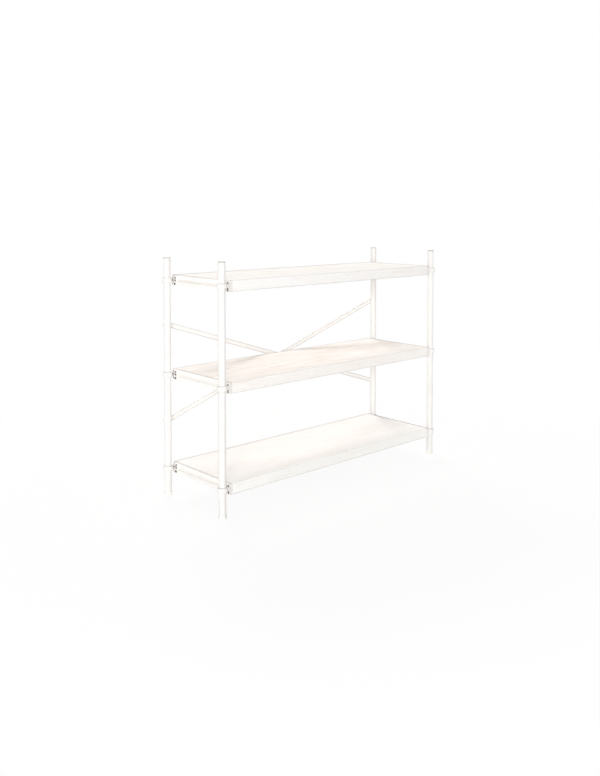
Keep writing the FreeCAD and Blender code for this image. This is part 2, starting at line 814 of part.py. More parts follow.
def end_rail(node, level, side):
    """An angle: an upright leg from clamp to clamp and a flange under the end batten."""
    body = new_body(f"{node}_angle")
    inward = f"{-side} *"
    leg_reach = f"({post_y} - sizes.ear_width / 2 - sizes.rail_end_gap)"
    flange_reach = f"({post_y} - {bracket_reach} - sizes.rail_end_gap)"
    leg = sketch_on(body, "XZ_Plane", f"{node}_leg")
    rectangle(leg, f"{inward} {rail_face}", f"{inward} {bracket_face}", rail_low, batten_low)
    pad(body, leg, f"2 * {leg_reach}", both_ways=True)
    flange = sketch_on(body, "XZ_Plane", f"{node}_flange")
    rectangle(flange, f"{inward} {rail_face}", f"{inward} {flange_tip}", rail_seat, batten_low)
    pad(body, flange, f"2 * {flange_reach}", both_ways=True)
    holes = sketch_on(body, "YZ_Plane", f"{node}_holes")
    for end in (-1, 1):
        circle(holes, rail_hole, f"{end} * ({post_y} - {rail_screw_reach})", rail_screw_lift)
    cut(body, holes)
    drilling = sketch_on(body, "XY_Plane", f"{node}_drilling", rail_low)
    for end in (-1, 1):
        across = f"{inward} {batten_screw_reach}"
        circle(drilling, wood_hole, across, f"{end} * sizes.batten_screw_spacing / 2")
    cut(body, drilling)
    ease_edges(
        body,
        "sizes.rail_bend",
        lambda edge: line_at(edge, 1, f"{inward} {rail_face}", batten_low),
    )
    place(body, f"{side} * {post_x}", "0", underside(level))
    keep(body, node)


def bracket_fixings(level, corner):
    """The screw from rail to bracket, and those from bracket to end batten and panel."""
    side, end = CORNERS[corner]
    name = f"{level}_{corner}"
    rail_screw = screw(
        f"rail_screw_{name}",
        "sizes.rail_thread",
        "(sizes.rail_plate + sizes.bracket_plate + sizes.screw_end)",
        "sizes.rail_head",
        "sizes.rail_head_height",
        PAN_HEAD_SHARES,
        lambda sketch: hexagon(sketch, "sizes.rail_key"),
        "sizes.rail_key_depth",
    )
    place(
        rail_screw,
        f"{side} * ({post_x} - {rail_face})",
        f"{end} * ({post_y} - {rail_screw_reach})",
        f"{underside(level)} + {rail_screw_lift}",
        HEAD_OUTWARD[side],
    )
    rail_screws.append(rail_screw)
    for target, lift in (("batten", side_screw_lift), ("panel", shelf_screw_lift)):
        shelf_screw = wood_screw(f"shelf_screw_{name}_{target}", "sizes.shelf_screw_length")
        place(
            shelf_screw,
            f"{side} * ({post_x} - {bracket_face})",
            f"{end} * ({post_y} - {shelf_screw_reach})",
            f"{underside(level)} + {lift}",
            HEAD_OUTWARD[side],
        )
        shelf_screws.append(shelf_screw)


# Cross brace behind the rear posts


def brace_bar(node, left_height, right_height, depth):
    """A flat bar between two rear posts, with round ends and three holes."""
    body = new_body(f"{node}_flat")
    face = sketch_on(body, "XZ_Plane", f"{node}_face")
    left = (f"-{post_x}", left_height)
    right = (post_x, right_height)
    bar_outline(face, left, right, "(sizes.brace_width / 2)")
    for x, z in (left, right, ("0", brace_middle)):
        circle(face, brace_hole, x, z)
    pad(body, face, "sizes.brace_plate", backwards=True)
    place(body, "0", f"{post_y} + {depth}")
    keep(body, node)


def brace_fixings(name, side, height, depth):
    """The saddle ring, rivet nut and bolt at one end of a bar."""
    saddle = new_body(f"brace_spacer_{name}")
    ring = sketch_on(saddle, "XZ_Plane", f"brace_spacer_{name}_ring")
    circle(ring, f"({spacer_bore} + sizes.spacer_wall)")
    circle(ring, spacer_bore)
    pad(saddle, ring, depth, backwards=True)
    seat = sketch_on(saddle, "XY_Plane", f"brace_spacer_{name}_seat")
    circle(seat, "sizes.post_radius + sizes.thread_clearance")
    cut(saddle, seat)
    place(saddle, f"{side} * {post_x}", post_y, height)
    brace_spacers.append(saddle)

    sleeve = new_body(f"rivet_nut_{name}")
    profile = sketch_on(sleeve, "XZ_Plane", f"rivet_nut_{name}_profile")
    outline(
        profile,
        [
            (brace_tapping, "-sizes.rivet_length"),
            (rivet_radius, "-sizes.rivet_length"),
            (rivet_radius, "0"),
            (rivet_lip, "0"),
            (rivet_lip, "sizes.rivet_flange"),
            (brace_tapping, "sizes.rivet_flange"),
        ],
    )
    revolve(sleeve, profile)
    place(sleeve, f"{side} * {post_x}", f"{post_y} + sizes.post_radius", height, HEAD_BACKWARD)
    rivet_nuts.append(sleeve)

    bolt = screw(
        f"brace_bolt_{name}",
        "sizes.brace_thread",
        f"({depth} + sizes.brace_plate - sizes.post_radius + sizes.brace_bolt_grip)",
        "sizes.brace_head",
        "sizes.brace_head_height",
        PAN_HEAD_SHARES,
        lambda sketch: hexagon(sketch, "sizes.brace_key"),
        "sizes.brace_key_depth",
    )
    place(
        bolt,
        f"{side} * {post_x}",
        f"{post_y} + {depth} + sizes.brace_plate",
        height,
        HEAD_BACKWARD,
    )
    brace_bolts.append(bolt)


def centre_fixings():
    """The bolt and nut that hold the two bars together where they cross."""
    bolt = screw(
        "centre_bolt_turned",
        "sizes.brace_thread",
        "(2 * sizes.brace_plate + sizes.brace_nut_height + sizes.screw_end)",
        "sizes.brace_head",
        "sizes.brace_head_height",
        PAN_HEAD_SHARES,
        lambda sketch: hexagon(sketch, "sizes.brace_key"),
        "sizes.brace_key_depth",
    )
    place(bolt, "0", f"{post_y} + {brace_back}", brace_middle, HEAD_BACKWARD)
    keep(bolt, "brace_centre_bolt")
    catch = nut("centre_nut_hex", "sizes.brace_nut_across", "sizes.brace_nut_height", brace_tapping)
    place(catch, "0", f"{post_y} + {first_bar}", brace_middle, HEAD_FORWARD)
    keep(catch, "brace_centre_nut")


# The whole unit

batten_screws = []
clamp_screws = []
clamp_nuts = []
rail_screws = []
shelf_screws = []
brace_spacers = []
rivet_nuts = []
brace_bolts = []

for corner, (side, end) in CORNERS.items():
    post(f"post_{corner}", side, end)
    post_cap(f"post_cap_{corner}", side, end)
    foot(f"foot_{corner}", side, end)

for level in LEVELS:
    fascia(f"fascia_front_{level}", level, f"-{shelf_front}", "0")
    fascia(f"fascia_rear_{level}", level, panel_rear, "sizes.fascia_thickness")
    panel(f"shelf_panel_{level}", level)
    battens(level)
    for name, side in SIDES.items():
        end_rail(f"end_rail_{level}_{name}", level, side)
    for corner in CORNERS:
        ring_clamp(f"ring_clamp_{level}_{corner}", level, corner)
        clamp_fixings(level, corner)
        bracket_fixings(level, corner)
    group([corner_bracket(level, corner) for corner in CORNERS], f"corner_brackets_{level}")

brace_bar("brace_bar_rising", brace_low, brace_high, first_bar)
brace_bar("brace_bar_falling", brace_high, brace_low, second_bar)
brace_fixings("rising_left", -1, brace_low, first_bar)
brace_fixings("rising_right", 1, brace_high, first_bar)
brace_fixings("falling_left", -1, brace_high, second_bar)
brace_fixings("falling_right", 1, brace_low, second_bar)
centre_fixings()

group(batten_screws, "batten_screws")
group(clamp_screws, "clamp_screws")
group(clamp_nuts, "clamp_nuts")
group(rail_screws, "rail_screws")
group(shelf_screws, "shelf_screws")
group(brace_spacers, "brace_spacers")
group(rivet_nuts, "rivet_nuts")
group(brace_bolts, "brace_bolts")

doc.recompute()

# Nothing is written unless everything is sound.
failed = [item.Name for item in doc.Objects if {"Invalid", "Error"} & set(item.State)]
if failed:
    raise RuntimeError(f"failed: {failed}")
for part in parts:
    if part.Shape.isNull() or not part.Shape.isValid() or not part.Shape.Solids:
        raise RuntimeError(f"{part.Label} has no sound solid")

os.makedirs("parts", exist_ok=True)
for part in parts:
    part.Shape.exportStep(os.path.join("parts", f"{part.Label}.step"))
print(f"{len(parts)} sub-parts, {sum(len(part.Shape.Solids) for part in parts)} solids")
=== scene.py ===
import math
from functools import partial, reduce
from typing import NamedTuple

import bpy
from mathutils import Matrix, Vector


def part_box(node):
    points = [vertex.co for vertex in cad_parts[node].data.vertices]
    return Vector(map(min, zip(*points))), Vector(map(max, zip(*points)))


# Looks of the shelving unit: whitewashed boards in a frame of cream painted steel. Metres, in the CAD
# frame: +X along the width, +Y to the rear, +Z up, the floor at zero.

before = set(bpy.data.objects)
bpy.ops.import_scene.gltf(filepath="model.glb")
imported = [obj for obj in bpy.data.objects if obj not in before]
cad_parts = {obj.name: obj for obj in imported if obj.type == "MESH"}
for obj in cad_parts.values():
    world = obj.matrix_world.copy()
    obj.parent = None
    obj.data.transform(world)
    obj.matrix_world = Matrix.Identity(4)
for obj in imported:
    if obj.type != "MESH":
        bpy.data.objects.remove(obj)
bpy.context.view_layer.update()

LEVELS = ("bottom", "middle", "top")
CORNERS = ("front_left", "front_right", "rear_left", "rear_right")


def srgb(red, green, blue):
    """A colour given as it looks on a screen, 0 to 255, as Blender's linear one."""
    shares = [channel / 255 for channel in (red, green, blue)]
    linear = [s / 12.92 if s <= 0.04045 else ((s + 0.055) / 1.055) ** 2.4 for s in shares]
    return (*linear, 1.0)


def midway(low, high):
    return (low + high) / 2


# Material building


class Tree:
    """A material's node tree with one Principled shader, and short calls that add to it."""

    def __init__(self, name, metallic=0.0, specular=0.5):
        self.material = bpy.data.materials.new(name)
        self.material.use_nodes = True
        self.nodes = self.material.node_tree.nodes
        self.links = self.material.node_tree.links
        self.shader = self.nodes["Principled BSDF"]
        self.shader.inputs["Metallic"].default_value = metallic
        self.shader.inputs["Specular IOR Level"].default_value = specular
        self.place = self.add("ShaderNodeTexCoord").outputs["Object"]

    def add(self, kind, **settings):
        node = self.nodes.new(kind)
        for name, setting in settings.items():
            setattr(node, name, setting)
        return node

    def feed(self, socket, source):
        """Links a source to a socket, or sets a plain value there."""
        if isinstance(source, bpy.types.NodeSocket):
            self.links.new(source, socket)
        else:
            socket.default_value = source

    def calc(self, operation, first, second=0.0, clamp=False):
        """One step of arithmetic on sockets or plain numbers."""
        node = self.add("ShaderNodeMath", operation=operation, use_clamp=clamp)
        self.feed(node.inputs[0], first)
        self.feed(node.inputs[1], second)
        return node.outputs[0]

    def plus(self, first, second):
        return self.calc("ADD", first, second)

    def total(self, *sources):
        """The sources' sum, but at most 1."""
        return reduce(partial(self.calc, "ADD", clamp=True), sources)

    def minus(self, first, second):
        return self.calc("SUBTRACT", first, second)

    def times(self, first, second):
        return self.calc("MULTIPLY", first, second)

    def unsigned(self, source):
        return self.calc("ABSOLUTE", source)

    def largest(self, *sources):
        return reduce(partial(self.calc, "MAXIMUM"), sources)

    def smallest(self, *sources):
        return reduce(partial(self.calc, "MINIMUM"), sources)

    def vector(self, operation, first, second=(0.0, 0.0, 0.0)):
        node = self.add("ShaderNodeVectorMath", operation=operation)
        self.feed(node.inputs[0], first)
        self.feed(node.inputs[1], second)
        return node.outputs["Value" if operation == "LENGTH" else "Vector"]

    def split(self, source):
        node = self.add("ShaderNodeSeparateXYZ")
        self.feed(node.inputs[0], source)
        return node.outputs

    def join(self, x, y, z):
        node = self.add("ShaderNodeCombineXYZ")
        for socket, source in zip(node.inputs, (x, y, z)):
            self.feed(socket, source)
        return node.outputs[0]

    def noise(self, place, stretch=(1.0, 1.0, 1.0), scale=1.0, detail=2.0, roughness=0.5):
        """Noise from 0 to 1. A stretch above 1 packs it closer along that axis."""
        node = self.add("ShaderNodeTexNoise")
        self.feed(node.inputs["Vector"], self.vector("MULTIPLY", place, stretch))
        node.inputs["Scale"].default_value = scale
        node.inputs["Detail"].default_value = detail
        node.inputs["Roughness"].default_value = roughness
        return node.outputs["Fac"]

    def ramp(self, source, start, end, low=0.0, high=1.0):
        """A smooth step from low to high, while the source goes from start to end."""
        node = self.add("ShaderNodeMapRange", interpolation_type="SMOOTHSTEP")
        self.feed(node.inputs["Value"], source)
        for name, number in (("From Min", start), ("From Max", end), ("To Min", low), ("To Max", high)):
            node.inputs[name].default_value = number
        return node.outputs[0]

    def mix(self, share, first, second):
        """The first colour, with a share of the second in its place."""
        node = self.add("ShaderNodeMix", data_type="RGBA")
        self.feed(node.inputs["Factor"], share)
        self.feed(node.inputs[6], first)
        self.feed(node.inputs[7], second)
        return node.outputs[2]

    def finish(self, colour, roughness, height, depth, strength):
        """Connects the shader. Height is what the bump is made from, and depth its reach in metres."""
        self.feed(self.shader.inputs["Base Color"], colour)
        self.feed(self.shader.inputs["Roughness"], roughness)
        bump = self.add("ShaderNodeBump")
        self.feed(bump.inputs["Height"], height)
        bump.inputs["Distance"].default_value = depth
        bump.inputs["Strength"].default_value = strength
        self.feed(self.shader.inputs["Normal"], bump.outputs["Normal"])
        return self.material


# The faces of a box: the axis that each looks along, and which end of it.
LEFT, RIGHT, FRONT, REAR, UNDER, TOP = ((axis, end) for axis in range(3) for end in range(2))

# The share of a worn edge's width that is worn in full, before the wear fades out.
WORN_THROUGH = 0.3


def near_edges(tree, box, widths, edges):
    """A mask of a box's edges, where two faces meet, that fades out within a width along each axis."""
    low, high = box
    near = {}
    for axis, (source, width) in enumerate(zip(tree.split(tree.place), widths)):
        through = width * WORN_THROUGH
        near[axis, 0] = tree.ramp(source, low[axis] + through, low[axis] + width, low=1.0, high=0.0)
        near[axis, 1] = tree.ramp(source, high[axis] - width, high[axis] - through)
    masks = []
    for (first, second), strength in edges.items():
        masks.append(tree.times(tree.smallest(near[first], near[second]), strength))
    return tree.largest(*masks)


# Wood


class Wash(NamedTuple):
    """A washed board's colours where the wash is thick and where the grain shows through it, and how
    strongly its heartwood shows."""

    thick: tuple
    grain: tuple
    heart_share: float


# The bottom boards are washed lighter than the others: painted light that offsets the shade they get under
# the shelves above.
PANEL_WASH_AND_LIGHT = {
    "bottom": Wash(srgb(254, 252, 250), srgb(251, 247, 243), 0.12),
    "middle": Wash(srgb(253, 250, 247), srgb(243, 234, 227), 0.5),
    "top": Wash(srgb(255, 253, 250), srgb(252, 244, 236), 0.3),
}
FRONT_WASH_AND_LIGHT = {
    "bottom": Wash(srgb(255, 255, 253), srgb(253, 251, 247), 0.12),
    "middle": Wash(srgb(252, 250, 248), srgb(249, 244, 239), 0.12),
    "top": Wash(srgb(251, 250, 249), srgb(248, 245, 241), 0.12),
}
# A darker copy of the wash for the rear boards: painted shade that tones down the rear lamp on the shelves'
# backs.
REAR_WASH_AND_SHADE = Wash(srgb(246, 244, 241), srgb(241, 235, 229), 0.12)
HEARTWOOD = srgb(222, 198, 180)
BARE_WOOD = srgb(163, 151, 143)
# The sawn ends' even wash, painted lighter as painted light that offsets the shade on the end faces.
SAWN_END_WASH_AND_LIGHT = srgb(254, 253, 251)
BATTEN_WASH = srgb(249, 247, 243)
BATTEN_GRAIN = srgb(243, 237, 230)
WOOD_ROUGHNESS = 0.85
WOOD_SPECULAR = 0.2


class Layer(NamedTuple):
    """A noise in the wood: how closely it is packed along the grain and across it, its detail and its
    roughness, and the values at which it begins to show and shows in full."""

    along: float
    across: float
    detail: float
    roughness: float
    start: float
    full: float

    def noise(self, tree, place):
        stretch = (self.along, self.across, self.across)
        return tree.noise(place, stretch, detail=self.detail, roughness=self.roughness)

    def mask(self, tree, noise):
        return tree.ramp(noise, self.start, self.full)


PATCHES = Layer(along=3.0, across=7.0, detail=2.0, roughness=0.5, start=0.38, full=0.62)
BANDS = Layer(along=6.0, across=32.0, detail=3.0, roughness=0.6, start=0.4, full=0.64)
STREAKS = Layer(along=13.0, across=110.0, detail=4.0, roughness=0.65, start=0.46, full=0.7)
FIBRES = Layer(along=24.0, across=900.0, detail=2.0, roughness=0.7, start=0.5, full=0.75)
PORES = Layer(along=45.0, across=1500.0, detail=1.0, roughness=0.5, start=0.66, full=0.74)
HEART = Layer(along=4.5, across=62.0, detail=3.0, roughness=0.55, start=0.57, full=0.7)
# How strongly each shows through the wash. Heartwood's share is each board's own.
PATCH_SHARE = 0.35
BAND_SHARE = 0.45
STREAK_SHARE = 0.4
FIBRE_SHARE = 0.22
PORE_SHARE = 0.35
# How far the grain wanders off a straight line, and how closely it does so.
GRAIN_WANDER = 0.016
WANDER_STRETCH = (1.6, 5.0, 5.0)
# How much the streaks and fibres raise the relief and the pores sink it, and its depth and strength.
STREAK_HEIGHT, FIBRE_HEIGHT, PORE_DEPTH = 0.5, 0.35, 0.4
WOOD_RELIEF, WOOD_RELIEF_STRENGTH = 0.0004, 0.6
# How squarely a face looks along the grain when it begins to count as sawn and counts in full, and how
# much of a sawn end has the even wash that such ends took, which is also painted lighter against their shade.
SAWN_TURN = (0.4, 0.8)
SAWN_SHARE = 0.9

# How far wear reaches from an edge along the width, the depth and the height. The top shelf, which is
# used most, is worn furthest.
WEAR_WIDTHS = {
    "bottom": (0.011, 0.0075, 0.0035),
    "middle": (0.010, 0.009, 0.0035),
    "top": (0.016, 0.026, 0.0035),
}
# How bare each edge of a shelf is rubbed.
WORN_EDGES = {
    (FRONT, TOP): 0.1,
    (FRONT, UNDER): 0.5,
    (REAR, TOP): 0.95,
    (REAR, UNDER): 0.6,
    (LEFT, TOP): 0.45,
    (LEFT, UNDER): 0.5,
    (RIGHT, TOP): 1.0,
    (RIGHT, UNDER): 0.6,
    (LEFT, FRONT): 0.25,
    (RIGHT, FRONT): 0.25,
    (LEFT, REAR): 0.5,
    (RIGHT, REAR): 0.5,
}
# The noise that makes the wear uneven: its stretch, the values between which the wear grows, and the
# share of it that is left where it is least.
WEAR_STRETCH = (9.0, 60.0, 60.0)
WEAR_UNEVEN = (0.3, 0.55)
LEAST_WEAR = 0.55

# How far each step of a board's seed shifts its grain, so that no two shelves are alike.
SEED_STEP = (3.7, 1.3, 0.9)
PANEL_SEED, FASCIA_SEED = 1.0, 5.0


def washed_wood(name, box, seed, wash, wear_widths):
    """Whitewash over wood whose grain runs along X, rubbed through along the box's edges."""
    tree = Tree(name, specular=WOOD_SPECULAR)
    place = tree.vector("ADD", tree.place, [seed * step for step in SEED_STEP])
    wander = tree.minus(tree.noise(place, WANDER_STRETCH, detail=1.0), 0.5)
    wander = tree.times(wander, GRAIN_WANDER)
    x, y, z = tree.split(place)
    grained = tree.join(x, tree.plus(y, wander), tree.plus(z, wander))

    patches = PATCHES.noise(tree, place)
    bands = BANDS.noise(tree, grained)
    streaks = STREAKS.noise(tree, grained)
    fibres = FIBRES.noise(tree, grained)
    shown = tree.total(
        tree.times(BANDS.mask(tree, bands), BAND_SHARE),
        tree.times(PATCHES.mask(tree, patches), PATCH_SHARE),
        tree.times(STREAKS.mask(tree, streaks), STREAK_SHARE),
        tree.times(FIBRES.mask(tree, fibres), FIBRE_SHARE),
    )
    colour = tree.mix(shown, wash.thick, wash.grain)

    heart = HEART.mask(tree, HEART.noise(tree, grained))
    colour = tree.mix(tree.times(heart, wash.heart_share), colour, HEARTWOOD)
    pores = PORES.mask(tree, PORES.noise(tree, grained))
    colour = tree.mix(tree.times(pores, PORE_SHARE), colour, BARE_WOOD)

    # Faces that look along X get the lightest, even wash: partly the sawn ends' own wash, partly painted
    # light.
    normal = tree.add("ShaderNodeNewGeometry").outputs["Normal"]
    end_on = tree.unsigned(tree.split(normal)[0])
    colour = tree.mix(tree.ramp(end_on, *SAWN_TURN, high=SAWN_SHARE), colour, SAWN_END_WASH_AND_LIGHT)

    uneven = tree.ramp(tree.noise(place, WEAR_STRETCH, detail=3.0), *WEAR_UNEVEN, low=LEAST_WEAR)
    rubbed = tree.times(near_edges(tree, box, wear_widths, WORN_EDGES), uneven)
    colour = tree.mix(rubbed, colour, BARE_WOOD)

    height = tree.plus(tree.times(streaks, STREAK_HEIGHT), tree.times(fibres, FIBRE_HEIGHT))
    height = tree.minus(height, tree.times(pores, PORE_DEPTH))
    return tree.finish(colour, WOOD_ROUGHNESS, height, depth=WOOD_RELIEF, strength=WOOD_RELIEF_STRENGTH)


def washed_batten(name):
    """Whitewashed softwood of the battens, which run along Y."""
    tree = Tree(name, specular=WOOD_SPECULAR)
    streaks = tree.noise(tree.place, (110.0, 2.5, 110.0), detail=4.0, roughness=0.6)
    fibres = tree.noise(tree.place, (900.0, 10.0, 900.0), detail=2.0)
    shown = tree.total(tree.ramp(streaks, 0.4, 0.7), tree.times(fibres, 0.3))
    colour = tree.mix(shown, BATTEN_WASH, BATTEN_GRAIN)
    return tree.finish(colour, WOOD_ROUGHNESS, streaks, depth=0.0004, strength=0.5)


# Metal and plastic

CREAM = srgb(244, 242, 240)
CREAM_SHADE = srgb(241, 239, 236)
# A lighter copy of the frame's cream paint: painted light on the rails, brackets and brace bars, to offset
# the shade they sit in.
CREAM_LIGHTENED_FOR_SHADE = srgb(252, 250, 248)
CREAM_LIGHTENED_FOR_SHADE_TONE = srgb(250, 248, 245)
# Worn paint on the bars' edges, and painted contact shade on the rings' rims.
WORN_PAINT_AND_SHADE = srgb(170, 164, 159)
# Painted shade: the dark brown on the brackets' tongues stands for the shadowed gap beside the clamps.
TONGUE_SHADE_BROWN = srgb(92, 76, 72)
CAP_GREY = srgb(178, 172, 165)
CAP_SCUFFED = srgb(190, 184, 176)
FOOT_WHITE = srgb(250, 248, 243)
FOOT_SCUFFED = srgb(240, 235, 226)
SCREW_DARK = srgb(104, 95, 91)
NUT_DARK = srgb(122, 108, 103)
DARK_MOTTLE = srgb(78, 74, 70)
BRIGHT_ZINC = srgb(205, 204, 200)
DULL_ZINC = srgb(118, 114, 110)
ZINC_SPANGLE = srgb(150, 150, 148)


def painted_steel(name, colour, shade, wear=None):
    """Satin powder coat: a fine orange peel and faint clouds of tone. Wear, where there is some, is a
    function that takes the tree and the clean tone and gives the worn one."""
    tree = Tree(name, specular=0.3)
    clouds = tree.ramp(tree.noise(tree.place, scale=14.0, detail=3.0), 0.35, 0.7)
    peel = tree.noise(tree.place, scale=900.0, detail=2.0)
    tone = tree.mix(clouds, colour, shade)
    if wear is not None:
        tone = wear(tree, tone)
    roughness = tree.ramp(tree.noise(tree.place, scale=60.0, detail=2.0), 0.3, 0.7, low=0.4, high=0.52)
    return tree.finish(tone, roughness, peel, depth=0.00015, strength=0.35)


def dark_steel(name, colour):
    """Blackened fasteners with a fine mottle."""
    tree = Tree(name, metallic=0.1)
    mottle = tree.noise(tree.place, scale=350.0, detail=3.0)
    tone = tree.mix(tree.ramp(mottle, 0.4, 0.75), colour, DARK_MOTTLE)
    roughness = tree.ramp(mottle, 0.3, 0.7, low=0.34, high=0.55)
    return tree.finish(tone, roughness, mottle, depth=0.0001, strength=0.4)


def zinc(name, colour):
    """Zinc plating with a fine spangle."""
    tree = Tree(name, metallic=1.0)
    spangle = tree.noise(tree.place, scale=500.0, detail=3.0)
    tone = tree.mix(spangle, colour, ZINC_SPANGLE)
    roughness = tree.ramp(spangle, 0.3, 0.7, low=0.25, high=0.45)
    return tree.finish(tone, roughness, spangle, depth=0.00008, strength=0.4)


def moulded_plastic(name, colour, scuffed):
    """Plastic with the fine spark-eroded grain of its mould, and scuffs."""
    tree = Tree(name, specular=0.4)
    grain = tree.noise(tree.place, scale=1400.0, detail=2.0)
    scuffs = tree.ramp(tree.noise(tree.place, scale=90.0, detail=4.0), 0.5, 0.75)
    tone = tree.mix(scuffs, colour, scuffed)
    return tree.finish(tone, roughness=0.55, height=grain, depth=0.00012, strength=0.4)


# Wear and painted shade on the painted steel

POST_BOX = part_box("post_front_right")
POST_X = midway(POST_BOX[0].x, POST_BOX[1].x)
POST_Y = (midway(POST_BOX[0].y, POST_BOX[1].y), midway(*[corner.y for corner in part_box("post_rear_right")]))
# The painted shade on a bracket's tongue, a dark brown that stands for the shadowed gap beside the clamp,
# ends between these distances inwards from its post's axis, along the depth and along the width.
TONGUE_SHADE_END_DEPTH = (0.002, 0.0028)
TONGUE_SHADE_END_WIDTH = (0.0305, 0.031)

BAR_HALF_WIDTH = 0.0095
BAR_WEAR_WIDTH = 0.0045
BAR_WEAR = 0.62

# How far the rings' darker rims reach and how dark they get: worn paint and painted contact shade.
RIM_WEAR_AND_SHADE_WIDTH = 0.0014
RIM_WEAR_AND_SHADE = 0.7


def tongue_painted_shade(tree, tone):
    """Painted shade on the bracket's tongue, which the clamp's ears grip, and round its bend: a dark brown
    that stands for the shadowed gap between the clamp and the shelf's end.
    """
    x, y, _ = tree.split(tree.place)
    along_width = tree.minus(POST_X, tree.unsigned(x))
    half = (POST_Y[1] - POST_Y[0]) / 2
    along_depth = tree.minus(half, tree.unsigned(tree.minus(y, midway(*POST_Y))))
    clean = tree.largest(tree.ramp(along_depth, *TONGUE_SHADE_END_DEPTH), tree.ramp(along_width, *TONGUE_SHADE_END_WIDTH))
    return tree.mix(clean, TONGUE_SHADE_BROWN, tone)


def worn_bar(node, rises):
    """Paint rubbed thin along both long edges of a slanted bar, which rises or falls along X."""
    low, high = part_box(node)
    # The ends are round, so the centre line ends half a width inside the box.
    slope = (high.z - low.z - 2 * BAR_HALF_WIDTH) / (high.x - low.x - 2 * BAR_HALF_WIDTH)

    def wear(tree, tone):
        x, _, z = tree.split(tree.place)
        line = tree.times(x, slope if rises else -slope)
        above_line = tree.minus(tree.minus(z, midway(low.z, high.z)), line)
        off_line = tree.times(tree.unsigned(above_line), 1 / math.hypot(1, slope))
        worn = tree.ramp(off_line, BAR_HALF_WIDTH - BAR_WEAR_WIDTH, BAR_HALF_WIDTH, high=BAR_WEAR)
        return tree.mix(worn, tone, WORN_PAINT_AND_SHADE)

    return wear


def rims_worn_and_shaded(tree, tone):
    """Darker top and bottom rims on the clamp rings of all levels: paint rubbed thin, and painted contact
    shade where each ring meets its post.
    """
    z = tree.split(tree.place)[2]
    rims = [corner.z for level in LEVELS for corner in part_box(f"ring_clamp_{level}_front_left")]
    off_rim = tree.smallest(*[tree.unsigned(tree.minus(z, rim)) for rim in rims])
    worn = tree.ramp(off_rim, WORN_THROUGH * RIM_WEAR_AND_SHADE_WIDTH, RIM_WEAR_AND_SHADE_WIDTH, low=RIM_WEAR_AND_SHADE, high=0.0)
    uneven = tree.ramp(tree.noise(tree.place, scale=70.0, detail=2.0), 0.3, 0.6, low=0.4)
    return tree.mix(tree.times(worn, uneven), tone, WORN_PAINT_AND_SHADE)


# Which node has which material


def dress(node, material):
    """Gives a CAD node's own object a material."""
    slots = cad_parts[node].data.materials
    slots.clear()
    slots.append(material)


posts = painted_steel("posts_paint", CREAM, CREAM_SHADE)
# The rings' rims are darkened with painted contact shade as well as wear.
rings = painted_steel("rings_paint", CREAM, CREAM_SHADE, rims_worn_and_shaded)
# The rails get the cream lightened as painted light.
rails = painted_steel("rails_paint", CREAM_LIGHTENED_FOR_SHADE, CREAM_LIGHTENED_FOR_SHADE_TONE)
spacers = painted_steel("spacers_paint", CREAM, CREAM_SHADE)
caps = moulded_plastic("caps_plastic", CAP_GREY, CAP_SCUFFED)
feet = moulded_plastic("feet_plastic", FOOT_WHITE, FOOT_SCUFFED)
# The brackets get the cream lightened as painted light, with painted shade on their tongues.
brackets = painted_steel("brackets_paint", CREAM_LIGHTENED_FOR_SHADE, CREAM_LIGHTENED_FOR_SHADE_TONE, tongue_painted_shade)
screws = dark_steel("screws_dark", SCREW_DARK)
clamp_screws = painted_steel("clamp_screws_paint", CREAM, CREAM_SHADE)
clamp_nuts = dark_steel("clamp_nuts_dark", NUT_DARK)
nuts = zinc("nuts_zinc", BRIGHT_ZINC)
bolts = zinc("bolts_zinc", DULL_ZINC)
battens = washed_batten("battens_wood")

for corner in CORNERS:
    dress(f"post_{corner}", posts)
    dress(f"post_cap_{corner}", caps)
    dress(f"foot_{corner}", feet)

# The bottom boards' lighter washes are painted light.
for number, level in enumerate(LEVELS):
    whole = (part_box(f"fascia_front_{level}")[0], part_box(f"fascia_rear_{level}")[1])
    for node, wash, seed in (
        (f"shelf_panel_{level}", PANEL_WASH_AND_LIGHT[level], PANEL_SEED),
        (f"fascia_front_{level}", FRONT_WASH_AND_LIGHT[level], FASCIA_SEED),
        # The rear boards' darker wash is painted shade.
        (f"fascia_rear_{level}", REAR_WASH_AND_SHADE, FASCIA_SEED),
    ):
        dress(node, washed_wood(f"{node}_wood", whole, seed + number, wash, WEAR_WIDTHS[level]))
    dress(f"end_battens_{level}", battens)
    dress(f"cross_battens_{level}", battens)
    dress(f"corner_brackets_{level}", brackets)
    for end in ("left", "right"):
        dress(f"end_rail_{level}_{end}", rails)
    for corner in CORNERS:
        dress(f"ring_clamp_{level}_{corner}", rings)

for node in ("rail_screws", "shelf_screws", "batten_screws"):
    dress(node, screws)
for node in ("rivet_nuts", "brace_centre_nut"):
    dress(node, nuts)
dress("clamp_screws", clamp_screws)
dress("clamp_nuts", clamp_nuts)
for node in ("brace_bolts", "brace_centre_bolt"):
    dress(node, bolts)
dress("brace_spacers", spacers)
# The brace bars get the cream lightened as painted light, besides their worn edges.
for node, rises in (("brace_bar_rising", True), ("brace_bar_falling", False)):
    dress(node, painted_steel(f"{node}_paint", CREAM_LIGHTENED_FOR_SHADE, CREAM_LIGHTENED_FOR_SHADE_TONE, worn_bar(node, rises)))

# Floor and world

FLOOR_SIZE = 30.0
FLOOR_PAINT = srgb(250, 249, 247)
FLOOR_ROUGHNESS = 0.9
# How much of the shadow on the floor shows, and between which distances from the middle that ends.
FLOOR_SHADOW_SHARE = 0.08
FLOOR_SHADOW_REACH = (1.1, 1.9)
WHITE_LIGHT = (1.0, 1.0, 1.0, 1.0)
AMBIENT = 0.45


